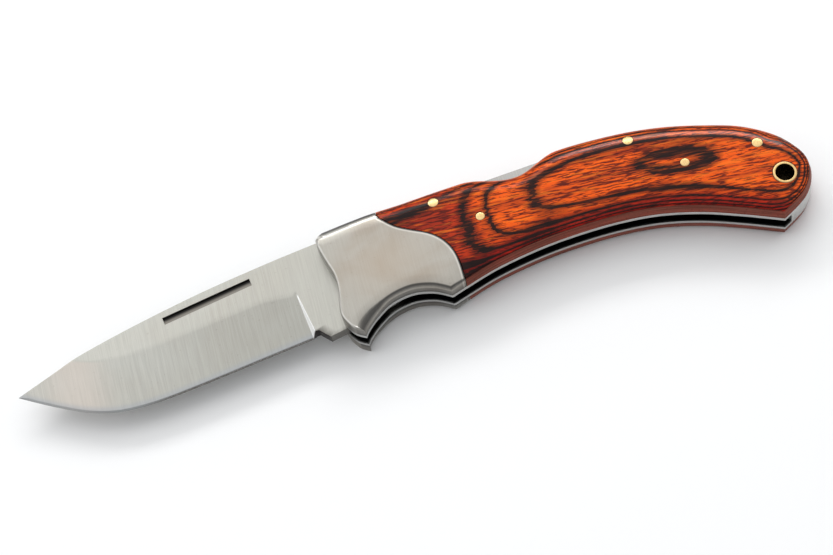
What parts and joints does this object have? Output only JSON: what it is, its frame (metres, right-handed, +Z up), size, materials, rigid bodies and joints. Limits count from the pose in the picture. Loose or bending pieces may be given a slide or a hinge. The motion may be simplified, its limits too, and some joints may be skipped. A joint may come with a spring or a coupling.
{
  "type": "folding pocket knife",
  "caption": "Open lock-back folding knife with a drop-point blade, steel bolsters, laminated wood scales and a lanyard tube.",
  "frame": {"origin": "on the pivot's axis, in the outer flat face of the pile side, on which the knife lies", "axes": "+X to the butt of the handle, -X to the blade's tip, +Y to the back of handle and blade, +Z up across the knife, to the mark side with the nail nick"},
  "size_m": [0.1999, 0.0352, 0.0124],
  "materials": {
    "blade_steel": "satin, brushed from the back to the edge",
    "bolster_steel": "satin, brushed across, a warm grey",
    "liner_steel": "satin, ground edges",
    "spring_steel": "plain, hardened",
    "brass": "polished flush, a pale gold",
    "bronze": "plain",
    "laminated_wood": "orange and dark red layers with near-black lines, smooth satin, pores closed"
  },
  "bodies": {
    "handle": {"mark_liner": "liner_steel", "pile_liner": "liner_steel", "mark_bolster": "bolster_steel", "pile_bolster": "bolster_steel", "mark_scale": "laminated_wood", "pile_scale": "laminated_wood", "mark_washer": "bronze", "pile_washer": "bronze", "mark_scale_pin_front": "brass", "pile_scale_pin_front": "brass", "mark_scale_pin_rear": "brass", "pile_scale_pin_rear": "brass", "mark_bolster_rivet_upper": "liner_steel", "pile_bolster_rivet_upper": "liner_steel", "mark_bolster_rivet_lower": "liner_steel", "pile_bolster_rivet_lower": "liner_steel", "pivot_pin": "spring_steel", "lock_bar_pin": "brass", "spring_pin_front": "brass", "spring_pin_rear": "brass", "lanyard_tube": "brass", "spacer": "liner_steel", "lock_spring": "spring_steel"},
    "blade": {"blade": "blade_steel"},
    "lock_bar": {"lock_bar": "spring_steel"}
  },
  "joints": [
    {"name": "blade_fold", "type": "hinge", "parent": "handle", "child": "blade", "pos_m": [0, 0, 0.0062], "axis": [0, 0, 1], "range_deg": [0, 175]},
    {"name": "lock_bar_rock", "type": "hinge", "parent": "handle", "child": "lock_bar", "pos_m": [0.01815, 0.01366, 0.0062], "axis": [0, 0, -1], "range_deg": [0, 4], "stiffness_Nm_per_rad": 2, "springref_deg": -2.86, "deforming": ["lock_spring"]}
  ]
}
